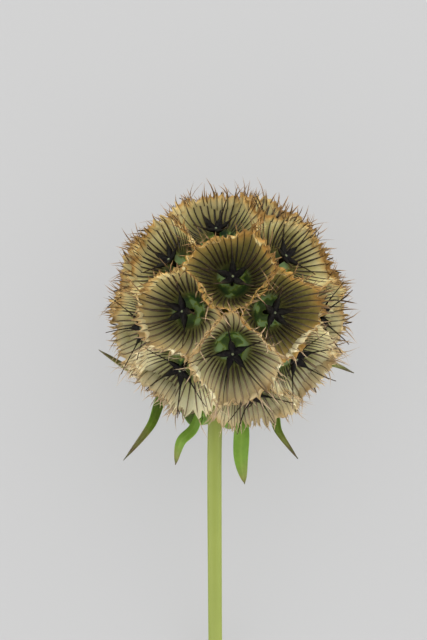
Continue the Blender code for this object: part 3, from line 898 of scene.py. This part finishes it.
def ribs(name, cup, rib_pattern, fibre_pattern, finish, luck):
    """The ribs of one cup, which run up its wall and stick out past the rim, and the loose fibres of
    its frayed rim."""
    bm = bmesh.new()
    height = cup.radius - FLOOR_EDGE_HEIGHT

    def bent(column, share, bend, lift):
        """A place on the wall, bent aside and in or out more and more from FRAY_FROM on."""
        point = cup.wall(column, share, lift)
        side = Vector((-point.y, point.x, 0.0)).normalized()
        inwards = Vector((-point.x, -point.y, 0.0)).normalized()
        past = max(0.0, share - FRAY_FROM) * height
        stray = past * past / FRAY_LENGTH
        return point + side * (stray * bend[0]) + inwards * (stray * bend[1]), side

    for k in range(cup.ribs):
        column = k * COLUMNS_PER_RIB
        over = 1.0 + RIB_OVERHANG * cup.tips[k] / height

        def rib_place(x, y, along):
            width = rib_width(along) * RIB_WIDTH / 2 * cup.thickness[k]
            depth = rib_width(along) * RIB_DEPTH / 2
            point, side = bent(column, along * over, cup.bends[k], y * depth)
            return cup.on_head(point + side * (x * width))

        add_bent(bm, rib_pattern, rib_place)
    for _ in range(FIBRES_PER_CUP):
        column = luck.uniform(0.0, cup.columns)
        low = luck.uniform(*FIBRE_FROM)
        high = luck.uniform(*FIBRE_TO)
        bend = (luck.uniform(*FIBRE_BEND_ASIDE), luck.uniform(*FIBRE_BEND_IN))

        def fibre_place(x, y, along):
            thick = FIBRE_WIDTH / 2 * (1.0 - FIBRE_THINNING * along)
            point, side = bent(column, low + (high - low) * along, bend, y * thick)
            return cup.on_head(point + side * (x * thick))

        add_bent(bm, fibre_pattern, fibre_place)
    bmesh.ops.recalc_face_normals(bm, faces=bm.faces)
    return as_object(name, bm, finish)


def star(name, cup, pattern, first_ray, length, finish, luck):
    """Five fat rays on a stalk. Each narrows to a bristle that curves out towards the rim or past it."""
    bm = bmesh.new()
    distances, widths, depths = (np.array(column) * MM for column in zip(*RAY_SHAPE))
    steady, early, late = RAY_CURVE
    for k in range(RAYS):
        bearing = first_ray + math.tau * (k + luck.uniform(-RAY_SCATTER, RAY_SCATTER)) / RAYS
        ahead = Vector((math.cos(bearing), math.sin(bearing), 0.0))
        side = Vector((-ahead.y, ahead.x, 0.0))
        reach = luck.uniform(*RAY_REACH) * length
        rise = luck.uniform(*RAY_RISE) * length
        sway = luck.uniform(-1.0, 1.0) * RAY_SWAY

        def place(x, y, along):
            share = along**RAY_CROWDING
            width = float(np.interp(share * reach, distances, widths))
            depth = float(np.interp(share * reach, distances, depths))
            middle = ahead * (reach * share) + side * (sway * share**2)
            height = HUB_HEIGHT + rise * (steady * share + early * share**2 + late * share**3)
            return cup.on_head(middle + side * (x * width) + Vector((0.0, 0.0, height + y * depth)))

        add_bent(bm, pattern, place)

    def stalk(x, y, along):
        radius = STALK_RADIUS * (STALK_FOOT + STALK_FLARE * along**3)
        height = FLOOR_CENTRE_HEIGHT + (HUB_HEIGHT + STALK_INTO_STAR - FLOOR_CENTRE_HEIGHT) * along
        return cup.on_head(Vector((x * radius, y * radius, height)))

    add_bent(bm, pattern, stalk)
    bmesh.ops.recalc_face_normals(bm, faces=bm.faces)
    return as_object(name, bm, finish)


def eye(name, cup, finish):
    """The small pale knob in the middle of a star."""
    bm = bmesh.new()
    bmesh.ops.create_icosphere(bm, subdivisions=2, radius=EYE_RADIUS)
    bmesh.ops.translate(bm, verts=bm.verts, vec=(0.0, 0.0, HUB_HEIGHT + EYE_LIFT))
    for vertex in bm.verts:
        vertex.co = cup.on_head(vertex.co)
    return as_object(name, bm, finish)


def tube(name, cup, pattern, finish):
    """The grooved tube of a fruit, from the receptacle to the underside of its cup."""
    bm = bmesh.new()
    heights = [height * MM for height, radius in TUBE_LINE]
    radii = [radius * MM for height, radius in TUBE_LINE]

    def place(x, y, along):
        height = heights[0] + (heights[-1] - heights[0]) * along
        groove = 1.0 - GROOVE_DEPTH * (1.0 - math.cos(TUBE_GROOVES * math.atan2(y, x))) / 2
        radius = float(np.interp(height, heights, radii)) * groove
        return cup.on_head(Vector((x * radius, y * radius, height - TUBE_UNDER_CUP)))

    add_bent(bm, pattern, place)
    bmesh.ops.recalc_face_normals(bm, faces=bm.faces)
    return as_object(name, bm, finish)


def stem_places():
    """Places along the stem's line, which sinks towards the surface in a slow curve, and its radii."""
    foot_up = STEM_LINE[-1][1] * MM
    sink = (STEM_FOOT - HEAD_CENTRE.z - foot_up * UP.z) / FACE.z
    places, radii = [], []
    for right, up, radius in STEM_LINE:
        along = max(0.0, (STEM_DROP_FROM - up * MM) / (STEM_DROP_FROM - foot_up))
        places.append(on_head(right * MM, up * MM, sink * along * along))
        radii.append(radius * MM)
    return places, radii


def smooth_line(places, share):
    """A point at a share of the way along a line of places, rounded through them."""
    position = share * (len(places) - 1)
    k = min(int(position), len(places) - 2)
    part = position - k
    before = places[max(0, k - 1)]
    first, second = places[k], places[k + 1]
    after = places[min(len(places) - 1, k + 2)]
    return (
        first * 2.0
        + (second - before) * part
        + (before * 2.0 - first * 5.0 + second * 4.0 - after) * part**2
        + (first * 3.0 - before - second * 3.0 + after) * part**3
    ) / 2.0


def stem(finish):
    """The stem from inside the receptacle to its cut end."""
    places, radii = stem_places()
    bm = bmesh.new()

    def place(x, y, along):
        centre = smooth_line(places, along)
        before = smooth_line(places, max(0.0, along - STEM_STRIDE))
        ahead = (smooth_line(places, min(1.0, along + STEM_STRIDE)) - before).normalized()
        side = ahead.cross(FACE).normalized()
        over = side.cross(ahead)
        radius = float(np.interp(along * (len(radii) - 1), range(len(radii)), radii))
        ridge = 1.0 + RIDGE_HEIGHT * math.cos(STEM_RIDGES * math.atan2(y, x))
        point = centre + (side * x + over * y) * (radius * ridge)
        point.z = max(point.z, LOWEST)
        return point

    add_bent(bm, straight_tube(STEM_SIDES, STEM_STEPS), place)
    bmesh.ops.recalc_face_normals(bm, faces=bm.faces)
    return as_object("green_stem", bm, finish)


def stem_middle(height):
    """The middle of the stem at a height near the head."""
    heights = [-up * MM for right, up, radius in STEM_LINE]
    rights = [right * MM for right, up, radius in STEM_LINE]
    return on_head(float(np.interp(-height, heights, rights)), height, 0.0)


def ease(share, low, high):
    """0 up to one share, 1 from another on, and a smooth rise between them."""
    part = min(1.0, max(0.0, (share - low) / (high - low)))
    return part * part * (3.0 - 2.0 * part)


def bract_width(widest, share):
    """Narrow while it is inside the ball, widest past the middle, and drawn out to a point."""
    low, high = BRACT_SWELL
    swell = math.sin(math.pi * min(1.0, max(0.0, (share - low) / (high - low)))) ** BRACT_FULLNESS
    neck = BRACT_NECK * (1.0 - share)
    return max(neck + (widest - neck) * swell, widest * BRACT_TIP)


def bract_line(round_stem, beyond, steps):
    """The way out from the stem, and points along a bract: from the collar, beside the stem, to its tip."""
    angle = math.radians(round_stem)
    out = RIGHT * math.sin(angle) + FACE * math.cos(angle)
    places = [stem_middle(COLLAR_HEIGHT) + out * BRACT_ROOT]
    for height, distance in BRACT_PASSES:
        places.append(stem_middle(height * MM) + out * distance * MM)
    for right, up, face in beyond:
        places.append(on_head(right * MM, up * MM, face * MM))
    return out, [smooth_line(places, k / steps) for k in range(steps + 1)]


def blade_frames(out, line, turn):
    """The ways along and across a bract's blade at each point of its line. At its root it faces the stem,
    and at its tip it leans by its own turn from facing the upper side."""
    steps = len(line) - 1
    alongs = [(line[min(k + 1, steps)] - line[max(k - 1, 0)]).normalized() for k in range(steps + 1)]
    side = UP.cross(out)
    sides = []
    for along in alongs:
        side = (side - along * side.dot(along)).normalized()
        sides.append(side)
    wanted = Matrix.Rotation(math.radians(turn), 3, alongs[-1]) @ FACE.cross(alongs[-1])
    angle = math.atan2(side.cross(wanted).dot(alongs[-1]), side.dot(wanted))
    angle = math.remainder(angle, math.pi)
    for k, along in enumerate(alongs):
        sides[k] = Matrix.Rotation(angle * ease(k / steps, *BRACT_TURN), 3, along) @ sides[k]
    return alongs, sides


def bract(name, shape, finish):
    """One bract: a thin leaf, folded a little along its midrib."""
    round_stem, turn, widest, *beyond = shape
    out, line = bract_line(round_stem, beyond, BRACT_STEPS)
    alongs, sides = blade_frames(out, line, turn)

    def place(across, along):
        k = round(along * BRACT_STEPS)
        offset = (across - 0.5) * 2.0
        half = bract_width(widest * MM, along) / 2
        normal = alongs[k].cross(sides[k])
        return line[k] + sides[k] * (offset * half) + normal * (BRACT_FOLD * half * (offset * offset - 0.5))

    bm = bmesh.new()
    mapped_grid(bm, BRACT_COLUMNS, BRACT_STEPS, place)
    bmesh.ops.recalc_face_normals(bm, faces=bm.faces)
    piece = as_object(name, bm, finish)
    blade = piece.modifiers.new("blade", "SOLIDIFY")
    blade.thickness = BRACT_THICKNESS
    blade.offset = 0.0
    soft = piece.modifiers.new("soft", "SUBSURF")
    soft.levels = soft.render_levels = 1
    return piece


def collar(finish):
    """The ring under the ball that the bracts grow from."""
    bm = bmesh.new()
    bmesh.ops.create_cone(
        bm,
        cap_ends=True,
        segments=COLLAR_SIDES,
        radius1=COLLAR_RADIUS,
        radius2=COLLAR_RADIUS * COLLAR_TAPER,
        depth=COLLAR_DEPTH,
    )
    turn = UP.to_track_quat("Z", "Y").to_matrix().to_4x4()
    bmesh.ops.transform(bm, matrix=Matrix.Translation(stem_middle(COLLAR_HEIGHT)) @ turn, verts=bm.verts)
    return as_object("bract_collar", bm, finish)


def receptacle(finish):
    """The swollen top of the stem that the fruits grow from."""
    bm = bmesh.new()
    bmesh.ops.create_icosphere(bm, subdivisions=4, radius=RECEPTACLE_RADIUS)
    bmesh.ops.translate(bm, verts=bm.verts, vec=HEAD_CENTRE)
    return as_object("receptacle", bm, finish)


def pale_surface():
    """The plain pale surface that the head lies on."""
    bm = bmesh.new()
    bmesh.ops.create_grid(bm, x_segments=1, y_segments=1, size=FLOOR_HALF)
    pale = bpy.data.materials.new("pale_floor")
    pale.use_nodes = True
    shader = pale.node_tree.nodes["Principled BSDF"]
    shader.inputs["Base Color"].default_value = (*FLOOR_SHADE, 1.0)
    shader.inputs["Emission Color"].default_value = WHITE
    shader.inputs["Emission Strength"].default_value = FLOOR_GLOW
    shader.inputs["Roughness"].default_value = FLOOR_ROUGHNESS
    as_object("floor", bm, pale, smooth=False)


def soft_light():
    """Light from all round that is weaker from overhead, and a large lamp over the top of the head."""
    world = bpy.data.worlds.new("soft_light")
    world.use_nodes = True
    nodes, links = world.node_tree.nodes, world.node_tree.links
    sky = nodes["Background"]
    sky.inputs["Strength"].default_value = SKY_STRENGTH
    place = nodes.new("ShaderNodeTexCoord")
    parts = nodes.new("ShaderNodeSeparateXYZ")
    shade = nodes.new("ShaderNodeValToRGB")
    shade.color_ramp.elements[0].color = WHITE
    shade.color_ramp.elements[1].color = (OVERHEAD_SHARE, OVERHEAD_SHARE, OVERHEAD_SHARE, 1.0)
    links.new(place.outputs["Generated"], parts.inputs[0])
    links.new(parts.outputs["Z"], shade.inputs["Fac"])
    links.new(shade.outputs["Color"], sky.inputs["Color"])
    bpy.context.scene.world = world
    lamp = bpy.data.lights.new("window", "AREA")
    lamp.energy = LAMP_POWER
    lamp.size = LAMP_SIZE
    light = bpy.data.objects.new("window", lamp)
    light.location = HEAD_CENTRE + LAMP_AT * LAMP_DISTANCE
    light.rotation_euler = (light.location - HEAD_CENTRE).to_track_quat("Z", "Y").to_euler()
    bpy.context.scene.collection.objects.link(light)


def camera_overhead():
    """The camera, looking down on the upper side of the head."""
    bpy.context.scene.view_settings.view_transform = "Standard"
    lens = bpy.data.cameras.new("camera")
    lens.lens = LENS
    lens.sensor_width = FILM_WIDTH
    camera = bpy.data.objects.new("camera", lens)
    turn = Matrix((RIGHT, UP, FACE)).transposed().to_4x4()
    turn.translation = on_head(LOOK_RIGHT, LOOK_UP, CAMERA_DISTANCE)
    camera.matrix_world = turn
    bpy.context.scene.collection.objects.link(camera)
    bpy.context.scene.camera = camera


def whole_head():
    """Every fruit with its cup, ribs, star and tube, and the receptacle under them."""
    membrane_skin, dark_rib, black_star = membrane_finish(), rib_finish(), star_finish()
    tube_green = plain_plant_finish("fruit_tube", (0.14, 0.20, 0.04), (0.30, 0.32, 0.10), 0.7, 400.0)
    eye_green = plain_plant_finish("pale_eye", (0.06, 0.07, 0.035), (0.13, 0.15, 0.07), 0.5, 900.0)
    chaff = plain_plant_finish("receptacle_chaff", (0.10, 0.10, 0.03), (0.24, 0.22, 0.08), 0.8, 500.0)
    rib_pattern = straight_tube(RIB_SIDES, RIB_STEPS)
    fibre_pattern = mostly_late(straight_tube(RIB_SIDES, FIBRE_STEPS), FIBRE_MAP_FROM)
    ray_pattern = straight_tube(RAY_SIDES, RAY_STEPS)
    tube_pattern = straight_tube(TUBE_SIDES, TUBE_STEPS)
    luck = random.Random(LUCK_SEED)
    points, rooms = spread_fruits()
    for k in range(FRUIT_COUNT):
        cup = Cup(k, points, rooms, luck)
        number = f"{k + 1:02d}"
        length = UPPER_RAYS[k] if k < len(UPPER_RAYS) else LOWER_RAYS
        keep(membrane("cup_" + number, cup, membrane_skin))
        keep(ribs("ribs_" + number, cup, rib_pattern, fibre_pattern, dark_rib, luck))
        rays = star("star_" + number, cup, ray_pattern, star_bearing(k), length, black_star, luck)
        keep(rays)
        keep(eye("eye_" + number, cup, eye_green))
        keep(tube("fruit_" + number, cup, tube_pattern, tube_green))
    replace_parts(keep(receptacle(chaff)), "seed_head")


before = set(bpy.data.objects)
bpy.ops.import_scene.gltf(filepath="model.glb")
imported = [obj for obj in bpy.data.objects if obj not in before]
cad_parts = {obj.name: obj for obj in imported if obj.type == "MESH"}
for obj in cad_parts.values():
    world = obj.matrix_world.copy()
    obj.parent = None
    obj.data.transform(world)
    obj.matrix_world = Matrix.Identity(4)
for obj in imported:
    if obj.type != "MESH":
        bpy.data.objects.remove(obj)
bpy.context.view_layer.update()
MOTTLE = mottle_group()
pale_surface()
soft_light()
camera_overhead()
whole_head()
leaf = bract_finish()
for number, shape in enumerate(BRACTS, 1):
    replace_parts(keep(bract(f"bract_{number}", shape, leaf)), "bracts")
keep(collar(leaf))
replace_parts(keep(stem(stem_finish())), "stem")
